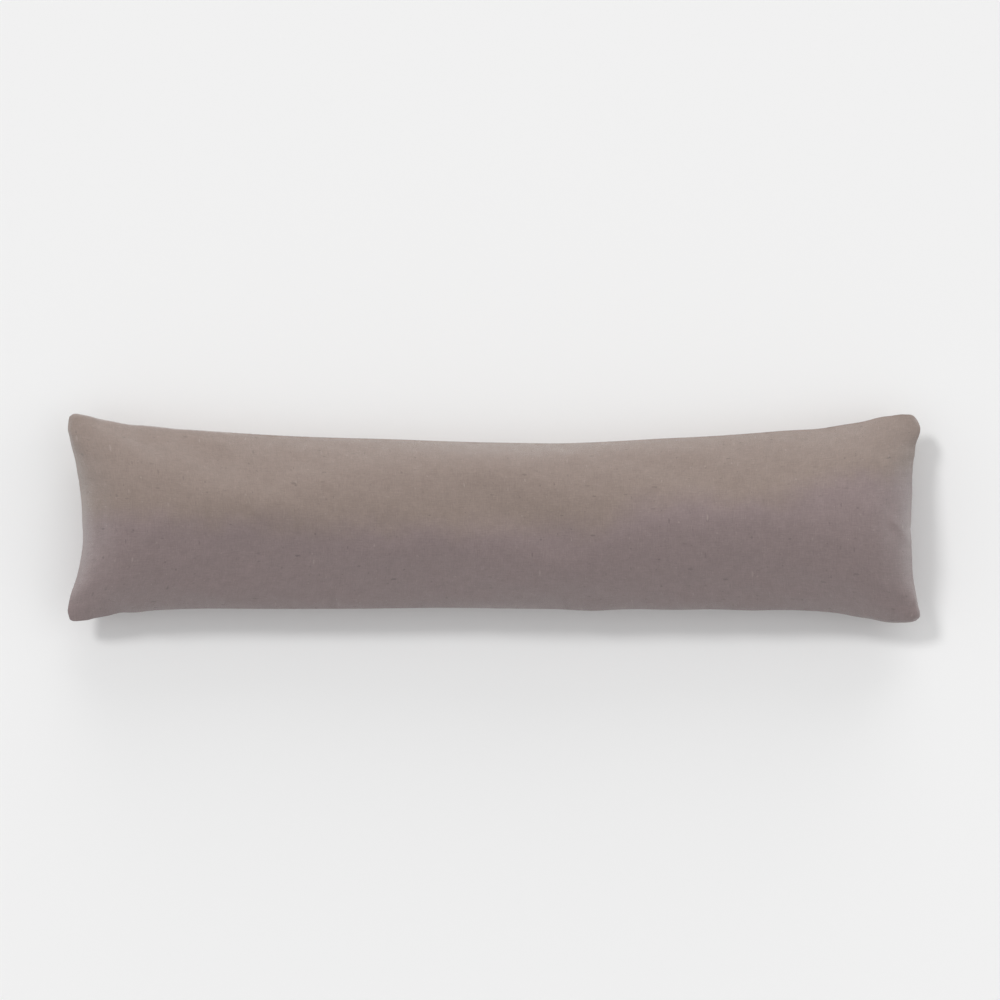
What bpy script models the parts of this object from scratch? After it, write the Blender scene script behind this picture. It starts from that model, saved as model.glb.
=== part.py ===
# A long lumbar throw pillow, lying on its back, in metres with +Z up.
# Two panels of plain-woven cloth meet in a knife-edge seam and hold a soft filling.
# +X runs along the pillow, +Y to its upper long side, and the origin is under its middle.

import bmesh
import bpy
import numpy as np

PART_NAME = "lumbar_throw_pillow"

# Size from corner to corner
LENGTH = 1.216
WIDTH = 0.298

# The filling draws each side in between its corners, by the given distance at the side's waist.
# waist_place is where that is, from -1 to 1. straightness keeps the middle straight, and flare
# shapes the run out to the corners. tip is the share of the half side, next to the corner,
# that isn't drawn in. Pairs are for the side's first and second halves.
SIDES = {
    "upper": {
        "draw_in": 0.041,
        "waist_place": 0.13,
        "straightness": (1.9, 1.5),
        "flare": 0.7,
        "tip": (0.02, 0.05),
    },
    "lower": {
        "draw_in": 0.020,
        "waist_place": 0.0,
        "straightness": (10.0, 9.0),
        "flare": 1.2,
        "tip": (0.01, 0.06),
    },
    "left": {
        "draw_in": 0.022,
        "waist_place": -0.11,
        "straightness": (2.0, 2.0),
        "flare": 1.2,
        "tip": (0.16, 0.13),
    },
    "right": {
        "draw_in": 0.013,
        "waist_place": -0.11,
        "straightness": (3.0, 3.0),
        "flare": 1.2,
        "tip": (0.15, 0.15),
    },
}

# The turned corners are rounded a little, and subdivision draws them in by the allowances
CORNER_ROUNDING = 0.0032
CORNER_REACH = 0.009
LENGTH_ALLOWANCE = 0.0033
WIDTH_ALLOWANCE = 0.0006
HALF_LENGTH = (LENGTH + LENGTH_ALLOWANCE) / 2
HALF_WIDTH = (WIDTH + WIDTH_ALLOWANCE) / 2

# Heights at the middle of the pillow
SEAM_HEIGHT = 0.063
CROWN_ABOVE_SEAM = 0.079
BELLY_BELOW_SEAM = 0.079
SECTION_HALF_ANGLE = 1.15

# The seam sinks a little towards the ends and the corners
END_SINK = 0.009
CORNER_SINK = 0.009
SINK_POWER = 6

# The filling fades out over this length at each end
END_ROLL = 0.10
END_ROUNDNESS = 2.0

# The corners hold little filling, and lie as flat ears
EAR_RADIUS = 0.050
EAR_FLATNESS = 0.30

# A slab of the surface that the pillow rests on, which cuts the belly flat at height 0
SLAB_MARGIN = 0.2
SLAB_DEPTH = 0.05

# A short slanting crease runs in from the right end's waist
CREASE_DEPTH = 0.004
CREASE_START = (0.594, -0.020)
CREASE_END = (0.566, 0.002)
CREASE_HALF_WIDTH = 0.010

# The sheet of cage faces on each panel, closer together near the seam
COLUMNS = 46
ROWS = 15
COLUMN_GRADING = 0.25
ROW_GRADING = 0.12

CLOTH_COLOUR = (0.255, 0.200, 0.184, 1.0)
CLOTH_ROUGHNESS = 0.95


def clear_scene():
    for old in list(bpy.data.objects):
        bpy.data.objects.remove(old)


def cloth_material():
    material = bpy.data.materials.new("taupe_cloth")
    material.use_nodes = True
    shader = material.node_tree.nodes["Principled BSDF"]
    shader.inputs["Base Color"].default_value = CLOTH_COLOUR
    shader.inputs["Roughness"].default_value = CLOTH_ROUGHNESS
    shader.inputs["Metallic"].default_value = 0.0
    return material


def draw_in(place, side):
    """How far a side is drawn in at places from -1 to 1: all of it at its waist, and none at its corners."""
    past_waist = place > side["waist_place"]
    tip = np.where(past_waist, side["tip"][1], side["tip"][0])
    straightness = np.where(past_waist, side["straightness"][1], side["straightness"][0])
    reach = np.where(past_waist, 1 - side["waist_place"], 1 + side["waist_place"]) - tip
    away = np.abs(place - side["waist_place"]) / reach
    return side["draw_in"] * np.clip(1 - away**straightness, 0, 1) ** side["flare"]


def graded(place, grading):
    """Moves evenly spaced places from -1 to 1 closer together towards both ends."""
    return place * (1 + grading - grading * place**2)


def to_corner(x, y):
    """Distance in plan to the nearest corner."""
    return np.hypot(HALF_LENGTH - np.abs(x), HALF_WIDTH - np.abs(y))


def plan_of(along, across):
    """Points in plan: each lies between the left and right sides, and between the lower and upper ones."""
    left = draw_in(across, SIDES["left"]) - HALF_LENGTH
    right = HALF_LENGTH - draw_in(across, SIDES["right"])
    lower = draw_in(along, SIDES["lower"]) - HALF_WIDTH
    upper = HALF_WIDTH - draw_in(along, SIDES["upper"])
    x = left + (right - left) * (along + 1) / 2
    arc_place = np.sin(across * SECTION_HALF_ANGLE) / np.sin(SECTION_HALF_ANGLE)
    y = (upper + lower) / 2 + (upper - lower) / 2 * arc_place
    from_end = np.minimum(x - left, right - x)
    pull = CORNER_ROUNDING * np.exp(-((to_corner(x, y) / CORNER_REACH) ** 2))
    return x - np.sign(x) * pull, y - np.sign(y) * pull, from_end


def fullness_of(across, x, y, from_end):
    """The share of the full crown: an arc across, a roll-off at each end, and flat corners."""
    lowest = np.cos(SECTION_HALF_ANGLE)
    arc = (np.cos(across * SECTION_HALF_ANGLE) - lowest) / (1 - lowest)
    into_roll = 1 - np.clip(from_end / END_ROLL, 0, 1)
    roll = np.sqrt(1 - into_roll**END_ROUNDNESS)
    ear = 1 - EAR_FLATNESS * np.exp(-((to_corner(x, y) / EAR_RADIUS) ** 2))
    return arc * roll * ear


def seam_height_of(along, across):
    """The seam's height, which sinks towards the ends and more at the corners."""
    return SEAM_HEIGHT - np.abs(along) ** SINK_POWER * (END_SINK + CORNER_SINK * across**2)


def crease_at(x, y):
    """Depth of the crease: a soft trough along the line from its start to its end."""
    start = np.array(CREASE_START)
    line = np.array(CREASE_END) - start
    part = np.clip(((x - start[0]) * line[0] + (y - start[1]) * line[1]) / (line @ line), 0, 1)
    away = np.hypot(x - start[0] - part * line[0], y - start[1] - part * line[1])
    return CREASE_DEPTH * np.exp(-((away / CREASE_HALF_WIDTH) ** 2))


def shape_panel(mesh, is_front):
    """Moves a flat grid's vertices from the square they fill to the panel's filled form."""
    count = len(mesh.vertices)
    flat = np.empty(count * 3)
    mesh.vertices.foreach_get("co", flat)
    flat = flat.reshape(-1, 3)
    along = graded(flat[:, 0], COLUMN_GRADING)
    across = graded(flat[:, 1], ROW_GRADING)
    x, y, from_end = plan_of(along, across)
    fullness = fullness_of(across, x, y, from_end)
    seam = seam_height_of(along, across)
    if is_front:
        z = seam + CROWN_ABOVE_SEAM * fullness - crease_at(x, y) * np.sqrt(fullness)
    else:
        z = seam - BELLY_BELOW_SEAM * fullness
    mesh.vertices.foreach_set("co", np.stack([x, y, z], -1).ravel())
    mesh.update()


def panel_mesh(name, is_front):
    """One panel: a grid primitive from -1 to 1, shaped, with its faces turned outwards."""
    sheet = bmesh.new()
    bmesh.ops.create_grid(sheet, x_segments=COLUMNS, y_segments=ROWS, size=1.0)
    if not is_front:
        bmesh.ops.reverse_faces(sheet, faces=sheet.faces[:])
    mesh = bpy.data.meshes.new(name)
    sheet.to_mesh(mesh)
    sheet.free()
    shape_panel(mesh, is_front)
    return mesh


def sew_pillow(collection):
    """Joins the panels along their rims into one closed cage, creased along the seam."""
    cage = bmesh.new()
    for name, is_front in (("front_panel", True), ("back_panel", False)):
        panel = panel_mesh(name, is_front)
        cage.from_mesh(panel)
        bpy.data.meshes.remove(panel)
    crease = cage.edges.layers.float.new("crease_edge")
    rims = [edge for edge in cage.edges if edge.is_boundary]
    for edge in rims:
        edge[crease] = 1.0
    bmesh.ops.remove_doubles(cage, verts=list({v for edge in rims for v in edge.verts}), dist=0.00001)
    mesh = bpy.data.meshes.new("pillow")
    cage.to_mesh(mesh)
    cage.free()
    mesh.shade_smooth()
    mesh.materials.append(cloth_material())
    pillow = bpy.data.objects.new("pillow", mesh)
    collection.objects.link(pillow)
    soften = pillow.modifiers.new("soften", "SUBSURF")
    soften.levels = 1
    soften.render_levels = 1
    return pillow


def resting_slab(collection):
    """The cutter: a slab with its top at height 0, larger in plan than the pillow."""
    block = bmesh.new()
    bmesh.ops.create_cube(block, size=1.0)
    size = (LENGTH + SLAB_MARGIN, WIDTH + SLAB_MARGIN, SLAB_DEPTH)
    bmesh.ops.scale(block, vec=size, verts=block.verts)
    bmesh.ops.translate(block, vec=(0, 0, -SLAB_DEPTH / 2), verts=block.verts)
    mesh = bpy.data.meshes.new("resting_slab")
    block.to_mesh(mesh)
    block.free()
    slab = bpy.data.objects.new("resting_slab", mesh)
    slab.hide_render = True
    slab.display_type = "WIRE"
    collection.objects.link(slab)
    return slab


def lay_on(pillow, slab):
    """Flattens the belly where it rests on the slab."""
    rest = pillow.modifiers.new("rest", "BOOLEAN")
    rest.operation = "DIFFERENCE"
    rest.object = slab


def new_collection(name):
    collection = bpy.data.collections.new(name)
    bpy.context.scene.collection.children.link(collection)
    return collection


def main():
    clear_scene()
    pillow = sew_pillow(new_collection(PART_NAME))
    slab = resting_slab(new_collection("cutters"))
    lay_on(pillow, slab)


main()
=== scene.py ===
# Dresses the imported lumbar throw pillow: the settled cloth, its weave, a plain studio and the camera.
import bpy
import math
import numpy as np
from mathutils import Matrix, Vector


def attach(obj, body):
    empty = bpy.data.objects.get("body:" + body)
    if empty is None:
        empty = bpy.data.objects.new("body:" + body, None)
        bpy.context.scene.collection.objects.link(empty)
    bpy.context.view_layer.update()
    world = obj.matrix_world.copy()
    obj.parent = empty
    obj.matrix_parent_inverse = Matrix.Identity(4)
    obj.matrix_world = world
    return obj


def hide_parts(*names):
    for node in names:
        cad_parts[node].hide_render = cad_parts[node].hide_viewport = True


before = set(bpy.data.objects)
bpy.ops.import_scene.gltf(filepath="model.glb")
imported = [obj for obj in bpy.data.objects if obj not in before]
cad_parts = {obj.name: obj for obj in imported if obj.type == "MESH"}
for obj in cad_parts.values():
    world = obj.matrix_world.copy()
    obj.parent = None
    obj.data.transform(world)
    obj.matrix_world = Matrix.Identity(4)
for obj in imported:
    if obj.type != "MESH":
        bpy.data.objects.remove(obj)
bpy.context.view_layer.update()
print("frame loaded")

# What the maker cuts and sews, in metres. The flat cut bows out a little in the middle of each side
pillowCut = {
    "length": 1.216,
    "width": 0.298,
    "bowLength": 0.012,
    "settlingCell": 0.0085,
    "fineCell": (0.0028, 0.0034),
    "seamCell": 0.00045,      # first row of cells beside the seam
    "growth": 1.30,           # of each row after it, up to the fine cell
    "backShift": (3.1, 0.7),  # sets the back's weave apart from the front's
}

# How far the filling draws in each side. waist is from -1 to 1 along the side. straight, flare and
# tip shape the run from the waist out to each corner, first for one half and then for the other
pillowSides = {
    "upper": {"drawIn": 0.041, "waist": 0.13, "straight": (1.9, 1.5), "flare": 0.7, "tip": (0.02, 0.05)},
    "lower": {"drawIn": 0.020, "waist": 0.0, "straight": (10.0, 9.0), "flare": 1.2, "tip": (0.01, 0.06)},
    "left": {"drawIn": 0.022, "waist": -0.11, "straight": (2.0, 2.0), "flare": 1.2, "tip": (0.16, 0.13)},
    "right": {"drawIn": 0.013, "waist": -0.11, "straight": (3.0, 3.0), "flare": 1.2, "tip": (0.15, 0.15)},
}

# Soft waves that the seam makes along each side: place along it, how far out, and half width
seamWaves = {
    "upper": (
        (-0.590, 0.0022, 0.014), (-0.575, 0.0014, 0.010), (-0.556, 0.0008, 0.022),
        (-0.522, -0.0013, 0.020), (-0.450, -0.0008, 0.022), (-0.150, 0.0016, 0.090),
        (0.100, -0.0008, 0.060), (0.240, 0.0008, 0.050), (0.462, -0.0020, 0.030),
        (0.553, 0.0028, 0.019),
    ),
    "lower": (
        (-0.600, -0.0010, 0.007), (-0.580, 0.0010, 0.008), (-0.556, 0.0010, 0.022),
        (-0.532, -0.0014, 0.012), (-0.508, 0.0008, 0.014), (-0.420, -0.0010, 0.060),
        (-0.070, -0.0016, 0.090), (0.140, 0.0027, 0.036), (0.260, 0.0013, 0.040),
        (0.366, 0.0018, 0.036), (0.520, 0.0020, 0.022), (0.554, 0.0016, 0.014),
    ),
    "left": (
        (-0.140, -0.0022, 0.010), (-0.108, 0.0034, 0.020), (-0.080, 0.0006, 0.016),
        (-0.030, -0.0018, 0.024), (0.018, -0.0010, 0.020), (0.068, 0.0006, 0.010),
        (0.106, 0.0022, 0.024), (0.125, 0.0008, 0.006), (0.140, -0.0022, 0.009),
    ),
    "right": (
        (0.122, 0.0031, 0.012), (0.092, 0.0010, 0.008), (0.036, 0.0010, 0.014),
        (-0.015, -0.0014, 0.008), (-0.058, 0.0010, 0.020), (-0.086, 0.0006, 0.014),
        (-0.108, 0.0018, 0.018),
    ),
}

# How far the seam lies inside the outline of each side
seamInset = {"upper": 0.0010, "lower": 0.0002, "left": -0.0009, "right": -0.0010}

# Turned corners: how far each one's rounding reaches along the pillow and across it
cornerRounding = {
    (-1, 1): (0.012, 0.012),
    (1, 1): (0.014, 0.025),
    (-1, -1): (0.014, 0.013),
    (1, -1): (0.020, 0.010),
}

# Heights and fullness of the filled form
pillowForm = {
    "seamHeight": 0.063,
    "crown": 0.079,
    "halfAngle": 1.15,
    "endSink": 0.009,
    "cornerSink": 0.009,
    "endRoll": 0.10,
    "earRadius": 0.050,
    "earFlatness": 0.30,
}

# The cloth while it settles round its filling, and what evens out the result
settling = {
    "frames": 40,
    "quality": 6,
    "collisionQuality": 2,
    "ease": 0.001,            # added to each half of the flat cut's width
    "flatHeight": 0.06,
    "volume": 0.0275,
    "pressure": 20,
    "mass": 0.0003,           # of each point, in kilograms
    "tension": 60,
    "shear": 15,
    "bending": 5,
    "airDamping": 3,
    "damping": 10,
    "bendingDamping": 2,
    "groundSize": 2.0,
    "friction": 10,
    "gap": 0.001,             # kept between the cloth and the ground
    "lift": 0.0025,           # start height over the ground
    "cap": 0.024,
    "ironing": 3,
    "press": 0.013,           # how far the belly is pressed flat where it rests
    "restEdge": 0.005,
    "bellySmoothing": 8,
    "crownShare": 0.965,
    "leastCrown": 0.02,
    "crownSmoothing": 12,
    "endFade": 0.20,
}

# The turned edge: two thicknesses of folded allowance lie inside it, and the seam sinks between them.
# Puckers and folds run in from it wherever a wavering line, with waves in its range, passes its level
seamLook = {
    "hold": 0.0001,           # all heights fade away this close to the seam
    "bead": 0.0010,
    "rise": 0.0012,
    "allowance": 0.0120,
    "allowanceEdge": 0.0060,
    "pastAllowance": 0.5,     # share of the bead that stays past the allowance
    "beadFade": 0.060,
    "waveFade": 0.030,        # how far in from its side a wave of the seam reaches
    "pucker": 0.00055,
    "puckerWaves": (0.007, 0.019),
    "puckerLevel": 0.1,
    "puckerSharpness": 1.2,
    "puckerStart": 0.0015,
    "puckerReach": 0.012,     # and how that wavers, by a share of itself
    "reachWaves": (0.03, 0.09),
    "reachSpread": 0.5,
    "leastReach": 0.003,
    "fold": 0.00055,
    "foldWaves": (0.026, 0.075),
    "foldLevel": 0.2,
    "foldPeak": 0.012,        # where each fold is deepest
    "foldReach": 0.040,
    "seeds": (11, 211),       # front and back
    "seedSteps": (50, 7),     # from the long sides to the ends, and from a side to its opposite
}

# Lumps of the loose filling that show through the cloth, in metres
fillingFeel = {
    "height": 0.00022,
    "shortest": 0.020,
    "longest": 0.060,
    "waves": 30,
    "start": 0.025,           # distance from the seam where they reach their full height
    "seeds": (5, 6),          # front and back
}

# Soft creases in the front: x, y and height at the start and at the end, where a trough's height is
# negative, half widths to the right and left of the way between them, and sharpness (2 round, 1 sharp)
softCreases = {
    "start": 0.006,           # distance from the seam where they reach their full height
    "rows": (
        # The fold at the right end, and how it runs out
        ((0.583, -0.0265, 0.0024), (0.562, -0.004, 0.0036), 0.0150, 0.0052, 1.2),
        ((0.559, 0.000, -0.0022), (0.559, 0.020, -0.0014), 0.0150, 0.0080, 1.3),
        # Fuller ears, upper left and lower right
        ((-0.585, 0.124, 0.0045), (-0.400, 0.114, 0.0035), 0.0320, 0.0320, 2.0),
        ((0.545, -0.122, 0.0030), (0.600, -0.128, 0.0045), 0.0240, 0.0240, 2.0),
        # Small creases that run in from the corners
        ((-0.556, 0.138, -0.0012), (-0.548, 0.108, -0.0005), 0.0070, 0.0070, 2.0),
        ((-0.592, 0.128, -0.0014), (-0.560, 0.100, -0.0006), 0.0090, 0.0090, 2.0),
        ((0.592, 0.126, -0.0012), (0.548, 0.092, -0.0005), 0.0100, 0.0100, 2.0),
        ((-0.594, -0.126, -0.0012), (-0.560, -0.100, -0.0005), 0.0090, 0.0090, 2.0),
        ((0.590, -0.128, -0.0016), (0.545, -0.104, -0.0006), 0.0100, 0.0100, 2.0),
        ((0.560, -0.138, -0.0010), (0.520, -0.118, -0.0004), 0.0080, 0.0080, 2.0),
    ),
}


# Distance that a side is drawn in: all of it at the waist, falling as a power of the way to the corner
def drawnIn(place, side):
    past = place > side["waist"]
    tip = np.where(past, side["tip"][1], side["tip"][0])
    straight = np.where(past, side["straight"][1], side["straight"][0])
    reach = np.where(past, 1 - side["waist"], 1 + side["waist"]) - tip
    away = np.abs(place - side["waist"]) / reach
    return side["drawIn"] * np.clip(1 - away ** straight, 0, 1) ** side["flare"]


# Points in plan: x runs evenly from the left side to the right one, and y as a sine between the lower
# and upper ones. Also the distance from the nearer end
def planOf(along, across):
    halfLength, halfWidth = pillowCut["length"] / 2, pillowCut["width"] / 2
    left = drawnIn(across, pillowSides["left"]) - halfLength
    right = halfLength - drawnIn(across, pillowSides["right"])
    lower = drawnIn(along, pillowSides["lower"]) - halfWidth
    upper = halfWidth - drawnIn(along, pillowSides["upper"])
    arc = np.sin(across * pillowForm["halfAngle"]) / np.sin(pillowForm["halfAngle"])
    x = left + (right - left) * (along + 1) / 2
    y = (upper + lower) / 2 + (upper - lower) / 2 * arc
    return x, y, np.minimum(x - left, right - x)


# The filled form before it settles: an arc across, rolled off at the ends and flatter in the corners.
# The seam sinks by a sixth power towards the ends, and most at the corners
def filledForm(along, across):
    x, y, fromEnd = planOf(along, across)
    low = np.cos(pillowForm["halfAngle"])
    arc = (np.cos(across * pillowForm["halfAngle"]) - low) / (1 - low)
    roll = np.sqrt(np.clip(1 - (1 - np.clip(fromEnd / pillowForm["endRoll"], 0, 1)) ** 2, 0, 1))
    toCorner = np.hypot(pillowCut["length"] / 2 - np.abs(x), pillowCut["width"] / 2 - np.abs(y))
    ear = 1 - pillowForm["earFlatness"] * np.exp(-(toCorner / pillowForm["earRadius"]) ** 2)
    full = pillowForm["crown"] * arc * roll * ear
    sink = np.abs(along) ** 6 * (pillowForm["endSink"] + pillowForm["cornerSink"] * across ** 2)
    seam = pillowForm["seamHeight"] - sink
    front = np.stack([x, y, seam + full], -1)
    back = np.stack([x, y, restedHeight(seam - full, settling["restEdge"])], -1)
    return front, back


# Heights pressed flat on the floor, with a parabola for the run into the flat place
def restedHeight(height, edge):
    blend = (height + edge) ** 2 / (4 * edge)
    return np.where(height > edge, height, np.where(height > -edge, blend, 0.0))


# Vertex numbers of both panels: they share the ring of vertices along the seam
def panelNumbers(columns, rows):
    front = np.arange((columns + 1) * (rows + 1)).reshape(columns + 1, rows + 1)
    inner = np.zeros_like(front, bool)
    inner[1:-1, 1:-1] = True
    back = front.copy()
    back[inner] = front.size + np.arange(inner.sum())
    return front, back, inner


# Four-sided faces of a grid of vertex numbers, turned over for the back panel
def gridFaces(numbers, turned):
    around = [numbers[:-1, :-1], numbers[1:, :-1], numbers[1:, 1:], numbers[:-1, 1:]]
    faces = np.stack(around, -1).reshape(-1, 4)
    return faces[:, ::-1] if turned else faces


# One closed mesh of both panels, where the back takes its seam points from the front
def sewnMesh(name, front, back):
    frontNumbers, backNumbers, inner = panelNumbers(front.shape[0] - 1, front.shape[1] - 1)
    points = np.concatenate([front.reshape(-1, 3), back[inner]])
    faces = np.concatenate([gridFaces(frontNumbers, False), gridFaces(backNumbers, True)])
    mesh = bpy.data.meshes.new(name)
    mesh.vertices.add(len(points))
    mesh.vertices.foreach_set("co", points.ravel())
    mesh.loops.add(faces.size)
    mesh.loops.foreach_set("vertex_index", faces.ravel())
    mesh.polygons.add(len(faces))
    mesh.polygons.foreach_set("loop_start", np.arange(0, faces.size, 4))
    mesh.update(calc_edges=True)
    mesh.validate()
    return mesh


# Lets the cloth settle round a fixed volume of filling, from the filled form, with the flat cut as
# the shape that its threads want to keep. Each point moves by no more than about the cap
def settleCloth(front, back, along, across):
    frontNumbers, backNumbers, inner = panelNumbers(front.shape[0] - 1, front.shape[1] - 1)
    lift = np.array([0, 0, settling["lift"]])
    mesh = sewnMesh("settling", front + lift, back + lift)
    cloth = bpy.data.objects.new("settling", mesh)
    bpy.context.scene.collection.objects.link(cloth)
    flatX = along * (pillowCut["length"] / 2 + pillowCut["bowLength"] * (1 - across ** 2))
    flatY = across * (pillowCut["width"] / 2 + settling["ease"])
    flat = np.stack([flatX, flatY, np.full_like(along, settling["flatHeight"])], -1)
    cloth.shape_key_add(name="Basis")
    cut = cloth.shape_key_add(name="flatCut", from_mix=False)
    cut.data.foreach_set("co", np.concatenate([flat.reshape(-1, 3), flat[inner]]).ravel())
    cut.value = 0.0
    ground = plainSheet("settlingGround", settling["groundSize"], 0.0)
    ground.modifiers.new("rest", "COLLISION")
    ground.collision.thickness_outer = settling["gap"]
    ground.collision.cloth_friction = settling["friction"]
    modifier = cloth.modifiers.new("settle", "CLOTH")
    settings = modifier.settings
    settings.rest_shape_key = cut
    settings.quality = settling["quality"]
    settings.mass = settling["mass"]
    settings.air_damping = settling["airDamping"]
    settings.tension_stiffness = settling["tension"]
    settings.compression_stiffness = settling["tension"]
    settings.shear_stiffness = settling["shear"]
    settings.bending_stiffness = settling["bending"]
    settings.tension_damping = settling["damping"]
    settings.compression_damping = settling["damping"]
    settings.shear_damping = settling["damping"]
    settings.bending_damping = settling["bendingDamping"]
    settings.use_pressure = True
    settings.uniform_pressure_force = 0
    settings.use_pressure_volume = True
    settings.target_volume = settling["volume"]
    settings.pressure_factor = settling["pressure"]
    modifier.collision_settings.distance_min = settling["gap"]
    modifier.collision_settings.collision_quality = settling["collisionQuality"]
    modifier.collision_settings.use_self_collision = False
    modifier.point_cache.frame_start = 1
    modifier.point_cache.frame_end = settling["frames"]
    for number in range(1, settling["frames"] + 1):
        bpy.context.scene.frame_set(number)
    settled = cloth.evaluated_get(bpy.context.evaluated_depsgraph_get()).data
    points = np.empty(len(settled.vertices) * 3, np.float32)
    settled.vertices.foreach_get("co", points)
    points = points.reshape(-1, 3).astype(float)
    bpy.context.scene.frame_set(1)
    bpy.data.objects.remove(cloth)
    bpy.data.objects.remove(ground)
    return [
        start + cappedMove(points[numbers] - start, settling["cap"])
        for start, numbers in ((front, frontNumbers), (back, backNumbers))
    ]


# Moves near the cap are held back: the length becomes cap times the tanh of length over cap
def cappedMove(move, cap):
    length = np.linalg.norm(move, axis=-1, keepdims=True)
    share = cap * np.tanh(length / cap) / np.maximum(length, 1e-9)
    return move * np.where(length > 1e-9, share, 1.0)


# Evens out small dimples: each point becomes a 1-2-1 mean with its neighbours. A seam point only
# follows its neighbours on the seam, and corners stay
def ironed(panel, passes):
    out = panel.copy()
    for _ in range(passes):
        edge = out.copy()
        edge[1:-1, :] = (out[:-2, :] + 2 * out[1:-1, :] + out[2:, :]) / 4
        both = edge.copy()
        both[:, 1:-1] = (edge[:, :-2] + 2 * edge[:, 1:-1] + edge[:, 2:]) / 4
        both[:, 0], both[:, -1] = edge[:, 0], edge[:, -1]
        both[0, 1:-1] = (out[0, :-2] + 2 * out[0, 1:-1] + out[0, 2:]) / 4
        both[-1, 1:-1] = (out[-1, :-2] + 2 * out[-1, 1:-1] + out[-1, 2:]) / 4
        for corner in ((0, 0), (0, -1), (-1, 0), (-1, -1)):
            both[corner] = out[corner]
        out = both
    return out


# Smooths a row of numbers by passes of a 1-2-1 mean. Its two ends stay
def smoothed(values, passes):
    out = values.copy()
    for _ in range(passes):
        out[1:-1] = (out[:-2] + 2 * out[1:-1] + out[2:]) / 4
    return out


# Brings the seam onto the sides' curves in plan. The shift of each side fades in a straight line to
# the opposite side, and the shift that both pairs share at the corners is taken off once
def followSides(panel, form):
    across = np.linspace(0, 1, panel.shape[1])[None, :, None]
    along = np.linspace(0, 1, panel.shape[0])[:, None, None]
    gap = form[..., :2] - panel[..., :2]
    low, high, left, right = gap[:, :1], gap[:, -1:], gap[:1, :], gap[-1:, :]
    corners = (
        (1 - along) * ((1 - across) * gap[:1, :1] + across * gap[:1, -1:])
        + along * ((1 - across) * gap[-1:, :1] + across * gap[-1:, -1:])
    )
    shift = (1 - across) * low + across * high + (1 - along) * left + along * right - corners
    out = panel.copy()
    out[..., :2] += shift
    return out


# Evens the settled crown against the filled form's. Heights over the seam are scaled by the ratio of
# the two crowns, smoothed along the pillow and fading out where the ends roll down
def evenCrown(front, form, along):
    seam = (front[:, :1, 2] + front[:, -1:, 2]) / 2
    formSeam = (form[:, :1, 2] + form[:, -1:, 2]) / 2
    crown = (front[..., 2] - seam).max(axis=1)
    formCrown = settling["crownShare"] * (form[..., 2] - formSeam).max(axis=1)
    ratio = formCrown / np.maximum(crown, settling["leastCrown"])
    ratio = smoothed(ratio, settling["crownSmoothing"])
    inside = np.clip((1 - np.abs(along[:, 0])) / settling["endFade"], 0, 1)
    factor = 1 + (ratio - 1) * inside ** 2 * (3 - 2 * inside)
    out = front.copy()
    out[..., 2] = seam + (front[..., 2] - seam) * factor[:, None]
    return out


# Lets the belly sink onto the floor: each section of the back comes down by its own lowest height and
# the press. A quartic across and a twelfth power along leave the seam where it is, and what passes the
# floor is flat
def layBelly(back, across):
    lowest = smoothed(back[..., 2].min(axis=1), settling["bellySmoothing"])
    middle = 1 - across ** 4
    ends = np.clip(1 - np.abs(np.linspace(-1, 1, back.shape[0])) ** 12, 0, 1)
    out = back.copy()
    drop = np.maximum(lowest, 0)[:, None] + settling["press"]
    out[..., 2] = restedHeight(back[..., 2] - drop * middle * ends[:, None], settling["restEdge"])
    return out


# Catmull-Rom weights of places from 0 to count over evenly spaced points, with one more point past
# each end in line with the last two
def splineWeights(places, count):
    cell = np.clip(np.floor(places).astype(int), 0, count - 1)
    part = places - cell
    weights = np.zeros((len(places), count + 3))
    rows = np.arange(len(places))
    weights[rows, cell] = -0.5 * part + part ** 2 - 0.5 * part ** 3
    weights[rows, cell + 1] = 1 - 2.5 * part ** 2 + 1.5 * part ** 3
    weights[rows, cell + 2] = 0.5 * part + 2 * part ** 2 - 1.5 * part ** 3
    weights[rows, cell + 3] = -0.5 * part ** 2 + 0.5 * part ** 3
    weights[:, 1] += 2 * weights[:, 0]
    weights[:, 2] -= weights[:, 0]
    weights[:, -2] += 2 * weights[:, -1]
    weights[:, -3] -= weights[:, -1]
    return weights[:, 1:-1]


# Places from -1 to 1 for the fine cloth: cells grow from the seam until they reach the full size. The
# forty growing rows are more than any size needs
def finePlaces(halfSize, fullCell):
    steps = pillowCut["seamCell"] * pillowCut["growth"] ** np.arange(40)
    full = np.full(int(halfSize / fullCell) + 2, fullCell)
    steps = np.concatenate([steps[steps < fullCell], full])
    reached = np.concatenate([[0], np.cumsum(steps)])
    reached = reached[: np.searchsorted(reached, halfSize)]
    half = reached / (reached[-1] + fullCell * 0.5)
    return np.concatenate([half - 1, (1 - half)[::-1]])


# Smooth random rise and fall along a line: a sum of cosines with wavelengths in a range
def waver(place, shortest, longest, seed, terms=14):
    random = np.random.default_rng(seed)
    waves = random.uniform(1 / longest, 1 / shortest, terms)
    phases = random.uniform(0, 2 * np.pi, terms)
    total = sum(np.cos(2 * np.pi * place * wave + phase) for wave, phase in zip(waves, phases))
    return total / np.sqrt(terms / 2)


# Normals of length 1: the cross product of the slopes along both ways of the grid
def unitNormals(panel, turned):
    crossed = np.cross(np.gradient(panel, axis=0), np.gradient(panel, axis=1))
    crossed /= np.maximum(np.linalg.norm(crossed, axis=-1, keepdims=True), 1e-12)
    return -crossed if turned else crossed


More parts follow.
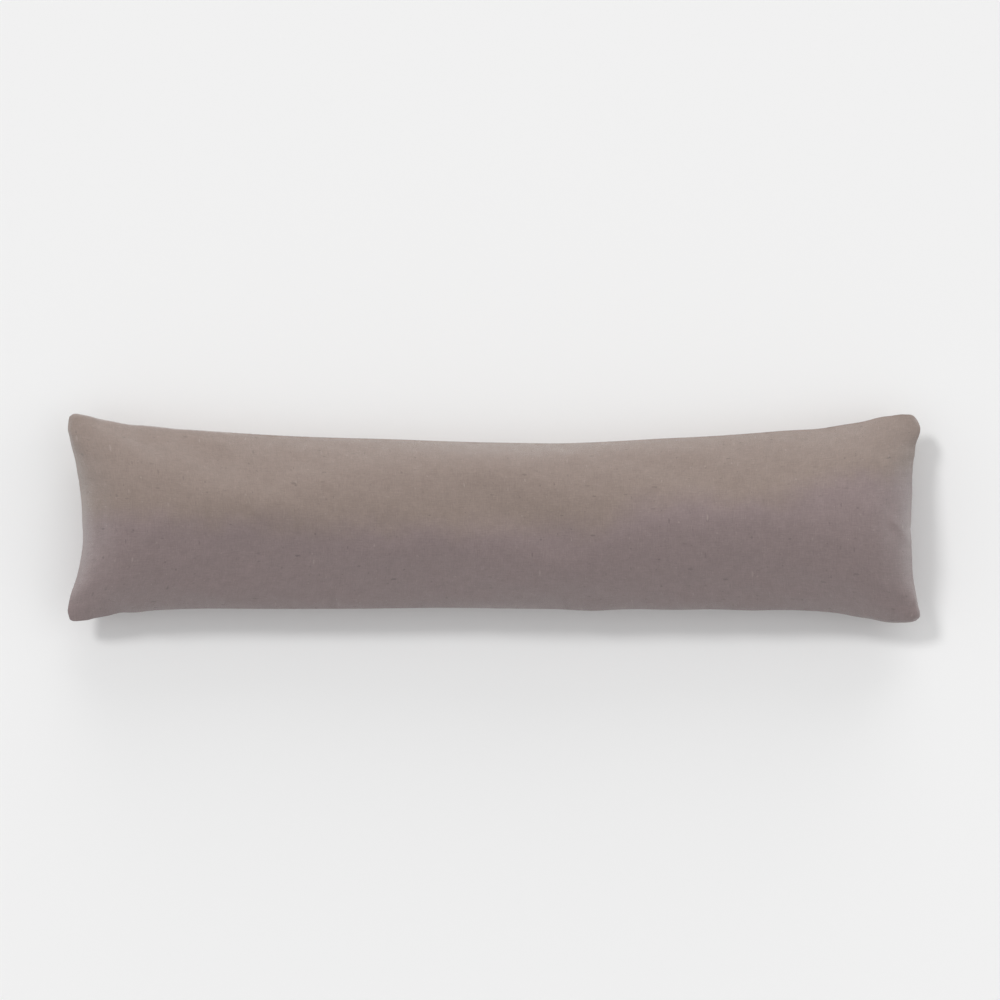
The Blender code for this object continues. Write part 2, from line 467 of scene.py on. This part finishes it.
# Rounds the corners in plan: within its reach, a square corner's points move onto quarter ellipses
def roundedCorners(panel):
    halfLength, halfWidth = pillowCut["length"] / 2, pillowCut["width"] / 2
    x, y = panel[..., 0].copy(), panel[..., 1].copy()
    out = panel.copy()
    for (sideX, sideY), (reachX, reachY) in cornerRounding.items():
        p = 1 - (halfLength - x * sideX) / reachX
        q = 1 - (halfWidth - y * sideY) / reachY
        near = (p > 0) & (q > 0)
        p, q = np.clip(p, 0, 1), np.clip(q, 0, 1)
        roundP, roundQ = p * np.sqrt(1 - q ** 2 / 2), q * np.sqrt(1 - p ** 2 / 2)
        out[..., 0] = np.where(near, out[..., 0] - sideX * (p - roundP) * reachX, out[..., 0])
        out[..., 1] = np.where(near, out[..., 1] - sideY * (q - roundQ) * reachY, out[..., 1])
    return out


# Adds the seam's waves in plan: Gaussian swells along each side, which fade away from it. The whole
# side is also shifted by its inset, because the turned edge stands out past the seam
def wavedSeam(panel, fromSides):
    x, y = panel[..., 0].copy(), panel[..., 1].copy()
    out = panel.copy()
    outwards = {"upper": (1, 1, x), "lower": (1, -1, x), "left": (0, -1, y), "right": (0, 1, y)}
    for side, (axis, sign, place) in outwards.items():
        fade = np.exp(-(fromSides[side] / seamLook["waveFade"]) ** 2)
        out[..., axis] -= sign * seamInset[side] * fade
        for centre, outward, halfWidth in seamWaves[side]:
            out[..., axis] += sign * outward * fade * np.exp(-((place - centre) / halfWidth) ** 2)
    return out


# Height of the turned edge over the seam: up a quarter circle to the bead, level over the allowance,
# down a logistic curve past it, and gone as a Gaussian further in
def seamProfile(distance):
    up = np.sqrt(np.clip(1 - (1 - np.clip(distance / seamLook["rise"], 0, 1)) ** 2, 0, 1))
    over = 1 / (1 + np.exp((distance - seamLook["allowance"]) / seamLook["allowanceEdge"]))
    share = seamLook["pastAllowance"] + (1 - seamLook["pastAllowance"]) * over
    return seamLook["bead"] * up * share * np.exp(-(distance / seamLook["beadFade"]) ** 2)


# Puckers and small folds that run in from the seam, as valleys where a wavering line is high. A pucker
# fades away as an exponential. A fold is deepest at its peak distance and fades as a Gaussian
def seamFolds(distance, flatX, flatY, shareX, panelSeed):
    total = np.zeros_like(distance)
    endStep, sideStep = seamLook["seedSteps"]
    for place, other, share, seed in ((flatX, flatY, shareX, 0), (flatY, flatX, 1 - shareX, endStep)):
        side = np.where(other > 0, 1, 0)
        for number in (0, 1):
            base = panelSeed + seed + sideStep * number
            short = np.clip(waver(place, *seamLook["puckerWaves"], base) - seamLook["puckerLevel"], 0, None)
            short = short ** seamLook["puckerSharpness"]
            long = np.clip(waver(place, *seamLook["foldWaves"], base + 1) - seamLook["foldLevel"], 0, None)
            spread = seamLook["reachSpread"] * waver(place, *seamLook["reachWaves"], base + 2)
            reach = seamLook["puckerReach"] * (1 + spread)
            near = np.exp(-distance / np.clip(reach, seamLook["leastReach"], None))
            way = distance / seamLook["foldPeak"]
            far = way * np.exp(1 - way) * np.exp(-(distance / seamLook["foldReach"]) ** 2)
            start = 1 - np.exp(-distance / seamLook["puckerStart"])
            puckers = seamLook["pucker"] * short * near * start
            folds = seamLook["fold"] * long * far
            total -= share * (side == number) * (puckers + folds)
    return total


# Soft unevenness of the loose filling: a sum of plane waves in random directions
def fillingLumps(flatX, flatY, seed):
    random = np.random.default_rng(seed)
    total = np.zeros_like(flatX)
    for _ in range(fillingFeel["waves"]):
        length = random.uniform(fillingFeel["shortest"], fillingFeel["longest"])
        heading, phase = random.uniform(0, np.pi), random.uniform(0, 2 * np.pi)
        onward = flatX * np.cos(heading) + flatY * np.sin(heading)
        total += np.cos(2 * np.pi * onward / length + phase)
    return fillingFeel["height"] * total / np.sqrt(fillingFeel["waves"] / 2)


# Soft creases: the height runs in a straight line from start to end, and to each side it is multiplied
# by exp(-(distance / half width) ^ sharpness). Round the two ends, one side's half width passes
# smoothly into the other's
def creaseHeight(x, y):
    total = np.zeros_like(x)
    for start, end, rightWidth, leftWidth, sharpness in softCreases["rows"]:
        offX, offY = x - start[0], y - start[1]
        lineX, lineY, rise = np.array(end) - np.array(start)
        part = np.clip((offX * lineX + offY * lineY) / (lineX ** 2 + lineY ** 2), 0, 1)
        away = np.hypot(offX - part * lineX, offY - part * lineY)
        toRight = (offX * lineY - offY * lineX) / np.hypot(lineX, lineY) / np.maximum(away, 1e-9)
        middle, lean = (rightWidth + leftWidth) / 2, (rightWidth - leftWidth) / 2
        width = middle + lean * np.clip(toRight, -1, 1)
        total += (start[2] + part * rise) * np.exp(-(away / width) ** sharpness)
    return total


# Carries a settled panel onto the fine places by splines, turns its corners and waves its seam, and moves
# each point along its normal by the turned edge, the folds, the lumps and, in the front, the creases.
# Distance from the seam is that from the end plus that from the edge, less their hypotenuse
def finePanel(panel, places, isFront):
    face = 0 if isFront else 1
    alongPlaces, acrossPlaces = places
    columns, rows = panel.shape[0] - 1, panel.shape[1] - 1
    wide = splineWeights((alongPlaces + 1) / 2 * columns, columns)
    tall = splineWeights((acrossPlaces + 1) / 2 * rows, rows)
    fine = np.einsum("ia,abk,jb->ijk", wide, panel, tall, optimize=True)
    flatX = (alongPlaces * pillowCut["length"] / 2)[:, None] + 0 * acrossPlaces[None, :]
    flatY = (acrossPlaces * pillowCut["width"] / 2)[None, :] + 0 * alongPlaces[:, None]
    fromSides = {
        "left": flatX + pillowCut["length"] / 2,
        "right": pillowCut["length"] / 2 - flatX,
        "lower": flatY + pillowCut["width"] / 2,
        "upper": pillowCut["width"] / 2 - flatY,
    }
    fromEnd = np.minimum(fromSides["left"], fromSides["right"])
    fromEdge = np.minimum(fromSides["lower"], fromSides["upper"])
    distance = fromEnd + fromEdge - np.hypot(fromEnd, fromEdge)
    shareX = fromEnd ** 2 / np.maximum(fromEnd ** 2 + fromEdge ** 2, 1e-12)
    fine = roundedCorners(wavedSeam(fine, fromSides))
    normals = unitNormals(fine, not isFront)
    folds = seamFolds(distance, flatX, flatY, shareX, seamLook["seeds"][face])
    height = seamProfile(distance) + folds
    lumps = fillingLumps(flatX, flatY, fillingFeel["seeds"][face])
    height = height + lumps * np.clip(distance / fillingFeel["start"], 0, 1)
    if isFront:
        creases = creaseHeight(fine[..., 0], fine[..., 1])
        height = height + creases * np.clip(distance / softCreases["start"], 0, 1)
    fine = fine + normals * height[..., None] * np.clip(distance / seamLook["hold"], 0, 1)[..., None]
    if not isFront:
        fine[..., 2] = np.maximum(fine[..., 2], 0)
    return fine, np.stack([flatX, flatY], -1), distance


# A square sheet with its middle at the origin, at one height
def plainSheet(name, size, height):
    half = size / 2
    mesh = bpy.data.meshes.new(name)
    corners = [(-half, -half, height), (half, -half, height), (half, half, height), (-half, half, height)]
    mesh.from_pydata(corners, [], [(0, 1, 2, 3)])
    sheet = bpy.data.objects.new(name, mesh)
    bpy.context.scene.collection.objects.link(sheet)
    return sheet


# The cover: the filled form, settled, made fine and sewn. Its UV map is the flat cut in metres, and an
# attribute holds the distance from the seam
def makePillow():
    columns = round(pillowCut["length"] / pillowCut["settlingCell"])
    rows = round(pillowCut["width"] / pillowCut["settlingCell"])
    evenly = (np.linspace(-1, 1, columns + 1), np.linspace(-1, 1, rows + 1))
    along, across = np.meshgrid(*evenly, indexing="ij")
    formFront, formBack = filledForm(along, across)
    front, back = formFront, formBack
    front, back = settleCloth(front, back, along, across)
    front, back = ironed(front, settling["ironing"]), ironed(back, settling["ironing"])
    front, back = followSides(front, formFront), followSides(back, formBack)
    front = evenCrown(front, formFront, along)
    back = layBelly(back, across)
    print("cloth settled")
    alongCell, acrossCell = pillowCut["fineCell"]
    places = (finePlaces(pillowCut["length"] / 2, alongCell), finePlaces(pillowCut["width"] / 2, acrossCell))
    fineFront, flat, distance = finePanel(front, places, True)
    fineBack = finePanel(back, places, False)[0]
    mesh = sewnMesh("pillowCover", fineFront, fineBack)
    numbers, _, inner = panelNumbers(flat.shape[0] - 1, flat.shape[1] - 1)
    cloth = mesh.uv_layers.new(name="cloth")
    frontFlat = flat.reshape(-1, 2)[gridFaces(numbers, False).ravel()]
    backFlat = (flat * (1, -1) + pillowCut["backShift"]).reshape(-1, 2)[gridFaces(numbers, True).ravel()]
    cloth.uv.foreach_set("vector", np.concatenate([frontFlat, backFlat]).ravel())
    seam = mesh.attributes.new("fromSeam", "FLOAT", "POINT")
    seam.data.foreach_set("value", np.concatenate([distance.ravel(), distance[inner]]))
    mesh.shade_smooth()
    pillow = bpy.data.objects.new("pillowCover", mesh)
    bpy.context.scene.collection.objects.link(pillow)
    print("cover sewn:", len(mesh.polygons) * 2, "triangles")
    return pillow


# Gives a socket its value, which may be a number or the socket of another node
def plug(tree, value, socket):
    if isinstance(value, bpy.types.NodeSocket):
        tree.links.new(value, socket)
    elif value is not None:
        socket.default_value = value


# One step of arithmetic on up to three values
def mathNode(tree, operation, first, second=None, third=None):
    node = tree.nodes.new("ShaderNodeMath")
    node.operation = operation
    for number, value in enumerate((first, second, third)):
        plug(tree, value, node.inputs[number])
    return node.outputs[0]


# Runs from toLow at fromLow to toHigh at fromHigh, in a straight line or smoothly, and level past them
def mapRange(tree, value, fromLow, fromHigh, toLow, toHigh, smooth=False):
    node = tree.nodes.new("ShaderNodeMapRange")
    if smooth:
        node.interpolation_type = "SMOOTHSTEP"
    for number, entry in enumerate((value, fromLow, fromHigh, toLow, toHigh)):
        plug(tree, entry, node.inputs[number])
    return node.outputs[0]


# The first colour with a share of the second, mixed or blended in
def mixColour(tree, share, first, second, blend="MIX"):
    node = tree.nodes.new("ShaderNodeMix")
    node.data_type = "RGBA"
    node.blend_type = blend
    plug(tree, share, node.inputs[0])
    plug(tree, first, node.inputs[6])
    plug(tree, second, node.inputs[7])
    return node.outputs[2]


# Soft random values round 0.5, with the scale in waves to each unit of the vector
def noiseValue(tree, vector, scale, detail=2.0, roughness=0.5):
    node = tree.nodes.new("ShaderNodeTexNoise")
    plug(tree, vector, node.inputs["Vector"])
    node.inputs["Scale"].default_value = scale
    node.inputs["Detail"].default_value = detail
    node.inputs["Roughness"].default_value = roughness
    return node.outputs["Fac"]


# Three values as one vector
def joined(tree, x, y, z=0.0):
    node = tree.nodes.new("ShaderNodeCombineXYZ")
    for number, value in enumerate((x, y, z)):
        plug(tree, value, node.inputs[number])
    return node.outputs[0]


# A colour times one factor
def shaded(tree, colour, factor):
    return mixColour(tree, 1.0, colour, joined(tree, factor, factor, factor), "MULTIPLY")


# A node group with its sockets, and its input and output nodes
def newGroup(name, inputs, outputs):
    group = bpy.data.node_groups.new(name, "ShaderNodeTree")
    for label, kind, value in inputs:
        socket = group.interface.new_socket(name=label, in_out="INPUT", socket_type=kind)
        if value is not None:
            socket.default_value = value
    for label, kind in outputs:
        group.interface.new_socket(name=label, in_out="OUTPUT", socket_type=kind)
    return group, group.nodes.new("NodeGroupInput"), group.nodes.new("NodeGroupOutput")


# Values of the weave, in metres where they are lengths
weaveLook = {
    "pitch": 0.0008,
    "slubLength": 0.012,
    "sway": 0.0009,           # how far the yarns wander
    "swayScale": 55.0,
    "yarnStep": 7.31,         # sets each yarn's noise apart from the next one's,
    "weftShift": 41.7,        # the weft's from the warp's
    "toneShift": 9.0,         # and the tone's from the slubs'
    "toneStretch": 0.7,
    "slubRange": (0.62, 0.74),    # noise where a slub begins and where it is whole
    "slubHeight": 0.7,
}


# Plain weave of uneven yarn. Warp runs along the second coordinate and weft along the first. In each
# cell one of them lies on top: its height is a sine across the yarn and a flatter one along it.
# Slubs are long thick places in single yarns. Tone is each yarn's own shade. Crossing is the corner of
# the cell, which gives a speck the stepped edge of whole yarns
def weaveGroup():
    tree, given, result = newGroup(
        "plainWeave",
        [("Cloth", "NodeSocketVector", None), ("Pitch", "NodeSocketFloat", weaveLook["pitch"]),
         ("Slub Length", "NodeSocketFloat", weaveLook["slubLength"])],
        [("Height", "NodeSocketFloat"), ("Warp Up", "NodeSocketFloat"), ("Tone", "NodeSocketFloat"),
         ("Slub", "NodeSocketFloat"), ("Crossing", "NodeSocketVector")],
    )
    wander = noiseValue(tree, given.outputs["Cloth"], weaveLook["swayScale"])
    sway = mathNode(tree, "MULTIPLY_ADD", wander, weaveLook["sway"], -weaveLook["sway"] / 2)
    parts = tree.nodes.new("ShaderNodeSeparateXYZ")
    plug(tree, given.outputs["Cloth"], parts.inputs[0])
    flatX = mathNode(tree, "ADD", parts.outputs[0], sway)
    flatY = mathNode(tree, "SUBTRACT", parts.outputs[1], sway)
    indexes, profiles, tones, slubs = [], [], [], []
    for across, along, shift in ((flatX, flatY, 0.0), (flatY, flatX, weaveLook["weftShift"])):
        cell = mathNode(tree, "DIVIDE", across, given.outputs["Pitch"])
        index = mathNode(tree, "FLOOR", cell)
        inCell = mathNode(tree, "SUBTRACT", cell, index)
        indexes.append(index)
        profiles.append(mathNode(tree, "SINE", mathNode(tree, "MULTIPLY", inCell, math.pi)))
        yarn = mathNode(tree, "MULTIPLY_ADD", index, weaveLook["yarnStep"], shift)
        length = mathNode(tree, "DIVIDE", along, given.outputs["Slub Length"])
        slow = noiseValue(tree, joined(tree, yarn, length, shift), 1.0, detail=1.0)
        stretched = mathNode(tree, "MULTIPLY", length, weaveLook["toneStretch"])
        tones.append(noiseValue(tree, joined(tree, yarn, stretched, weaveLook["toneShift"] + shift), 1.0))
        slubs.append(mapRange(tree, slow, *weaveLook["slubRange"], 0.0, 1.0, True))
    odd = mathNode(tree, "FLOORED_MODULO", mathNode(tree, "ADD", indexes[0], indexes[1]), 2.0)
    warpHeight = mathNode(tree, "MULTIPLY", profiles[0], mathNode(tree, "SQRT", profiles[1]))
    weftHeight = mathNode(tree, "MULTIPLY", profiles[1], mathNode(tree, "SQRT", profiles[0]))
    chosen = []
    for warp, weft in ((warpHeight, weftHeight), tones, slubs):
        difference = mathNode(tree, "SUBTRACT", warp, weft)
        chosen.append(mathNode(tree, "MULTIPLY_ADD", difference, odd, weft))
    yarnTop, tone, slub = chosen
    height = mathNode(tree, "MULTIPLY_ADD", slub, weaveLook["slubHeight"], yarnTop)
    corner = [mathNode(tree, "MULTIPLY", index, given.outputs["Pitch"]) for index in indexes]
    crossing = joined(tree, *corner)
    outputs = {"Height": height, "Warp Up": odd, "Tone": tone, "Slub": slub, "Crossing": crossing}
    for label, value in outputs.items():
        plug(tree, value, result.inputs[label])
    return tree


# Colours of the yarns, as linear light, and how strongly each effect shows
clothLook = {
    "tanWarp": (0.268, 0.206, 0.174, 1),
    "tanWeft": (0.250, 0.198, 0.177, 1),
    "mauveWarp": (0.263, 0.203, 0.196, 1),
    "mauveWeft": (0.248, 0.193, 0.194, 1),
    "paleSlub": (0.40, 0.335, 0.305, 1),
    "toneSpread": 0.08,
    "slubShow": 0.18,
    "fleckShow": 0.06,
    "fleckScales": (140.0, 620.0),    # along a fleck and across it
    "fleckShift": 3.0,        # sets the flecks of the second direction apart
    "patchShow": 0.048,
    "patchScale": 75.0,
    "noiseRoughness": 0.6,
    "noiseRange": (0.3, 0.7),         # of tones and patches, which then spread evenly round 1
    "fleckRange": (0.75, 1.25),       # of two noises together
    # Sparse specks: spacing along the pillow and across it, size as a share of the spacing, and how pale
    # the strongest are, or below zero how dark
    "specks": (
        (0.022, 0.085, 0.025, 0.50),
        (0.019, 0.017, 0.034, 0.36),
        (0.048, 0.018, 0.036, -0.28),
        (0.018, 0.052, 0.031, -0.25),
        (0.022, 0.025, 0.032, -0.26),
    ),
    "speckPower": 3.0,        # the higher, the fewer strong ones
    "speckShrink": (0.6, 0.9),        # divides a speck's size: the first plus a random part of the second
    "speckHeight": 3.0,       # in yarn heights
    "ragged": 0.003,          # how far a speck's edge wanders
    "raggedScale": 900.0,
    "driftLow": -0.012,       # how far up the pillow tan passes into mauve
    # and how much higher that is before and after it rises, between two places along the pillow
    "driftRises": ((-0.50, -0.20, 0.016, 0.0), (0.14, 0.24, 0.0, 0.040), (0.40, 0.50, 0.0, 0.036)),
    "driftWidth": 0.026,
    "driftCloud": 0.060,
    "cloudScale": 14.0,
    # Painted shade along the sunk seam: the colour's factor at the seam, and how far in it fades out
    "seamPaintedShade": 0.55,
    "seamPaintedShadeWidth": 0.0012,
    "roughness": 0.92,
    "specular": 0.25,
    "sheen": 0.60,
    "sheenRoughness": 0.50,
    "weaveBump": 0.55,
    "yarnHeight": 0.00022,
    "fuzzHeight": 0.35,       # as a share of the yarn's
    "fuzzScale": 2600.0,
}


# Specks at random points, one in each cell of the spacing, with ragged edges: whole in the middle and
# gone at twice the size. Each has its own strength, most of them faint, and its own size
def speckMask(tree, crossing, along, across, size):
    place = tree.nodes.new("ShaderNodeSeparateXYZ")
    plug(tree, crossing, place.inputs[0])
    wander = noiseValue(tree, crossing, clothLook["raggedScale"])
    ragged = mathNode(tree, "MULTIPLY_ADD", wander, clothLook["ragged"], -clothLook["ragged"] / 2)
    cells = joined(
        tree,
        mathNode(tree, "DIVIDE", mathNode(tree, "ADD", place.outputs[0], ragged), along),
        mathNode(tree, "DIVIDE", mathNode(tree, "SUBTRACT", place.outputs[1], ragged), across),
    )
    points = tree.nodes.new("ShaderNodeTexVoronoi")
    points.voronoi_dimensions = "2D"
    points.inputs["Scale"].default_value = 1.0
    plug(tree, cells, points.inputs["Vector"])
    own = tree.nodes.new("ShaderNodeSeparateColor")
    plug(tree, points.outputs["Color"], own.inputs[0])
    shown = mathNode(tree, "POWER", own.outputs[0], clothLook["speckPower"])
    least, spread = clothLook["speckShrink"]
    shrink = mathNode(tree, "MULTIPLY_ADD", own.outputs[1], spread, least)
    distance = mathNode(tree, "MULTIPLY", points.outputs["Distance"], shrink)
    return mathNode(tree, "MULTIPLY", mapRange(tree, distance, size, size * 2, 1.0, 0.0, True), shown)


# The cloth's colour, dull surface and fine height. Tan passes into mauve, times the shades of the yarns,
# flecks and patches, slubs and specks are mixed in, and painted shade darkens the sunk seam. The height is
# the weave's, with fuzz and specks
def pillowMaterial(weave):
    material = bpy.data.materials.new("slubClothTaupe")
    material.use_nodes = True
    tree = material.node_tree
    shader = tree.nodes["Principled BSDF"]
    coordinates = tree.nodes.new("ShaderNodeTexCoord")
    cloth = tree.nodes.new("ShaderNodeGroup")
    cloth.node_tree = weave
    uv = tree.nodes.new("ShaderNodeUVMap")
    uv.uv_map = "cloth"
    plug(tree, uv.outputs[0], cloth.inputs["Cloth"])
    cloth.inputs["Pitch"].default_value = weaveLook["pitch"]
    cloth.inputs["Slub Length"].default_value = weaveLook["slubLength"]
    # The dye drifts from tan by the upper side to mauve by the lower one
    place = tree.nodes.new("ShaderNodeSeparateXYZ")
    plug(tree, coordinates.outputs["Object"], place.inputs[0])
    rough = clothLook["noiseRoughness"]
    cloudy = noiseValue(tree, coordinates.outputs["Object"], clothLook["cloudScale"], 4.0, rough)
    line = clothLook["driftLow"]
    for fromX, toX, before, after in clothLook["driftRises"]:
        rise = mapRange(tree, place.outputs[0], fromX, toX, before, after, True)
        line = mathNode(tree, "ADD", rise, line)
    above = mathNode(tree, "SUBTRACT", place.outputs[1], line)
    cloud = clothLook["driftCloud"]
    above = mathNode(tree, "ADD", above, mathNode(tree, "MULTIPLY_ADD", cloudy, cloud, -cloud / 2))
    width = clothLook["driftWidth"]
    drift = mapRange(tree, above, -width, width, 1.0, 0.0, True)
    warpUp = cloth.outputs["Warp Up"]
    tan = mixColour(tree, warpUp, clothLook["tanWeft"], clothLook["tanWarp"])
    mauve = mixColour(tree, warpUp, clothLook["mauveWeft"], clothLook["mauveWarp"])
    colour = mixColour(tree, drift, tan, mauve)
    # Single yarns are lighter or darker, slubs are pale, and short flecks show from further away
    spread = clothLook["toneSpread"]
    tone = mapRange(tree, cloth.outputs["Tone"], *clothLook["noiseRange"], 1 - spread, 1 + spread)
    colour = shaded(tree, colour, tone)
    slub = mathNode(tree, "MULTIPLY", cloth.outputs["Slub"], clothLook["slubShow"])
    colour = mixColour(tree, slub, colour, clothLook["paleSlub"])
    flat = tree.nodes.new("ShaderNodeSeparateXYZ")
    plug(tree, uv.outputs[0], flat.inputs[0])
    flecks = []
    longScale, shortScale = clothLook["fleckScales"]
    for longWay, shortWay in ((0, 1), (1, 0)):
        stretched = joined(
            tree,
            mathNode(tree, "MULTIPLY", flat.outputs[longWay], longScale),
            mathNode(tree, "MULTIPLY", flat.outputs[shortWay], shortScale),
            clothLook["fleckShift"] * longWay,
        )
        flecks.append(noiseValue(tree, stretched, 1.0, 2.0, rough))
    fleck = mathNode(tree, "ADD", *flecks)
    spread = clothLook["fleckShow"]
    fleck = mapRange(tree, fleck, *clothLook["fleckRange"], 1 - spread, 1 + spread)
    patch = noiseValue(tree, uv.outputs[0], clothLook["patchScale"], 3.0, rough)
    spread = clothLook["patchShow"]
    patch = mapRange(tree, patch, *clothLook["noiseRange"], 1 - spread, 1 + spread)
    colour = shaded(tree, colour, mathNode(tree, "MULTIPLY", fleck, patch))
    marks = 0.0
    for along, across, size, strength in clothLook["specks"]:
        mask = speckMask(tree, cloth.outputs["Crossing"], along, across, size)
        marks = mathNode(tree, "MULTIPLY_ADD", mask, strength, marks)
    colour = mixColour(tree, mathNode(tree, "MAXIMUM", marks, 0.0), colour, clothLook["paleSlub"])
    pinhole = mathNode(tree, "ADD", mathNode(tree, "MINIMUM", marks, 0.0), 1.0)
    colour = shaded(tree, colour, pinhole)
    # Painted shade: the sunk seam is drawn darker, standing in for the shade in its groove where the cloth
    # turns over
    seam = tree.nodes.new("ShaderNodeAttribute")
    seam.attribute_name = "fromSeam"
    width, shade = clothLook["seamPaintedShadeWidth"], clothLook["seamPaintedShade"]
    colour = shaded(tree, colour, mapRange(tree, seam.outputs["Fac"], 0.0, width, shade, 1.0, True))
    plug(tree, colour, shader.inputs["Base Color"])
    shader.inputs["Roughness"].default_value = clothLook["roughness"]
    shader.inputs["Specular IOR Level"].default_value = clothLook["specular"]
    shader.inputs["Sheen Weight"].default_value = clothLook["sheen"]
    shader.inputs["Sheen Roughness"].default_value = clothLook["sheenRoughness"]
    fuzz = noiseValue(tree, uv.outputs[0], clothLook["fuzzScale"], 2.0, rough)
    height = mathNode(tree, "MULTIPLY_ADD", fuzz, clothLook["fuzzHeight"], cloth.outputs["Height"])
    height = mathNode(tree, "MULTIPLY_ADD", marks, clothLook["speckHeight"], height)
    bump = tree.nodes.new("ShaderNodeBump")
    bump.inputs["Strength"].default_value = clothLook["weaveBump"]
    bump.inputs["Distance"].default_value = clothLook["yarnHeight"]
    plug(tree, height, bump.inputs["Height"])
    plug(tree, bump.outputs[0], shader.inputs["Normal"])
    return material


# Plain studio. Each soft light has its azimuth from +X towards +Y, elevation, energy and width in degrees
studio = {
    "floorSize": 60.0,
    "floorHeight": -0.0003,   # clear of the belly, which lies flat at height 0
    "floorColour": (0.92, 0.92, 0.92, 1),
    "floorRoughness": 0.9,
    "floorSpecular": 0.1,
    "world": 0.50,
    "lampDistance": 3.0,
    "lights": {
        "key": (138.0, 45.5, 1.01, 12.0),
        "wash": (82.0, 15.0, 1.20, 40.0),
        "left": (180.0, 40.0, 0.23, 60.0),
        "right": (0.0, 30.0, 0.50, 60.0),
    },
}


# A lamp that shines onto the origin from its azimuth and elevation
def sunLight(name, azimuth, elevation, energy, softness):
    light = bpy.data.lights.new(name, "SUN")
    light.energy = energy
    light.angle = math.radians(softness)
    lamp = bpy.data.objects.new(name, light)
    towards = Vector((
        math.cos(math.radians(azimuth)) * math.cos(math.radians(elevation)),
        math.sin(math.radians(azimuth)) * math.cos(math.radians(elevation)),
        math.sin(math.radians(elevation)),
    ))
    lamp.rotation_euler = towards.to_track_quat("Z", "Y").to_euler()
    lamp.location = towards * studio["lampDistance"]
    bpy.context.scene.collection.objects.link(lamp)


# The floor, the even light from all round and the lamps
def makeStudio():
    floor = plainSheet("studioFloor", studio["floorSize"], studio["floorHeight"])
    paint = bpy.data.materials.new("paleFloor")
    paint.use_nodes = True
    shader = paint.node_tree.nodes["Principled BSDF"]
    shader.inputs["Base Color"].default_value = studio["floorColour"]
    shader.inputs["Roughness"].default_value = studio["floorRoughness"]
    shader.inputs["Specular IOR Level"].default_value = studio["floorSpecular"]
    floor.data.materials.append(paint)
    world = bpy.data.worlds.new("studioWorld")
    world.use_nodes = True
    background = world.node_tree.nodes["Background"]
    background.inputs["Color"].default_value = (1, 1, 1, 1)
    background.inputs["Strength"].default_value = studio["world"]
    bpy.context.scene.world = world
    for name, (azimuth, elevation, energy, softness) in studio["lights"].items():
        sunLight(name + "Light", azimuth, elevation, energy, softness)
    bpy.context.scene.view_settings.view_transform = "Standard"


# The camera looks straight down on the front, with the pillow's upper side up in the picture
cameraView = {
    "distance": 6.0,
    "pictureWidth": 1.4272,   # metres across the picture at the focus height
    "centre": (0.0094, 0.0260),
    "focus": 0.050,
    "sensorWidth": 36,        # in millimetres
}


# The lens is the sensor's width times the distance, over the width of the picture
def makeCamera():
    camera = bpy.data.cameras.new("studioCamera")
    camera.sensor_width = cameraView["sensorWidth"]
    camera.lens = cameraView["sensorWidth"] * cameraView["distance"] / cameraView["pictureWidth"]
    holder = bpy.data.objects.new("studioCamera", camera)
    holder.location = (*cameraView["centre"], cameraView["focus"] + cameraView["distance"])
    bpy.context.scene.collection.objects.link(holder)
    bpy.context.scene.camera = holder


makeStudio()
makeCamera()
print("studio ready")
pillow = makePillow()
pillow.data.materials.append(pillowMaterial(weaveGroup()))
print("cloth finished")
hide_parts("pillow")
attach(pillow, "root")
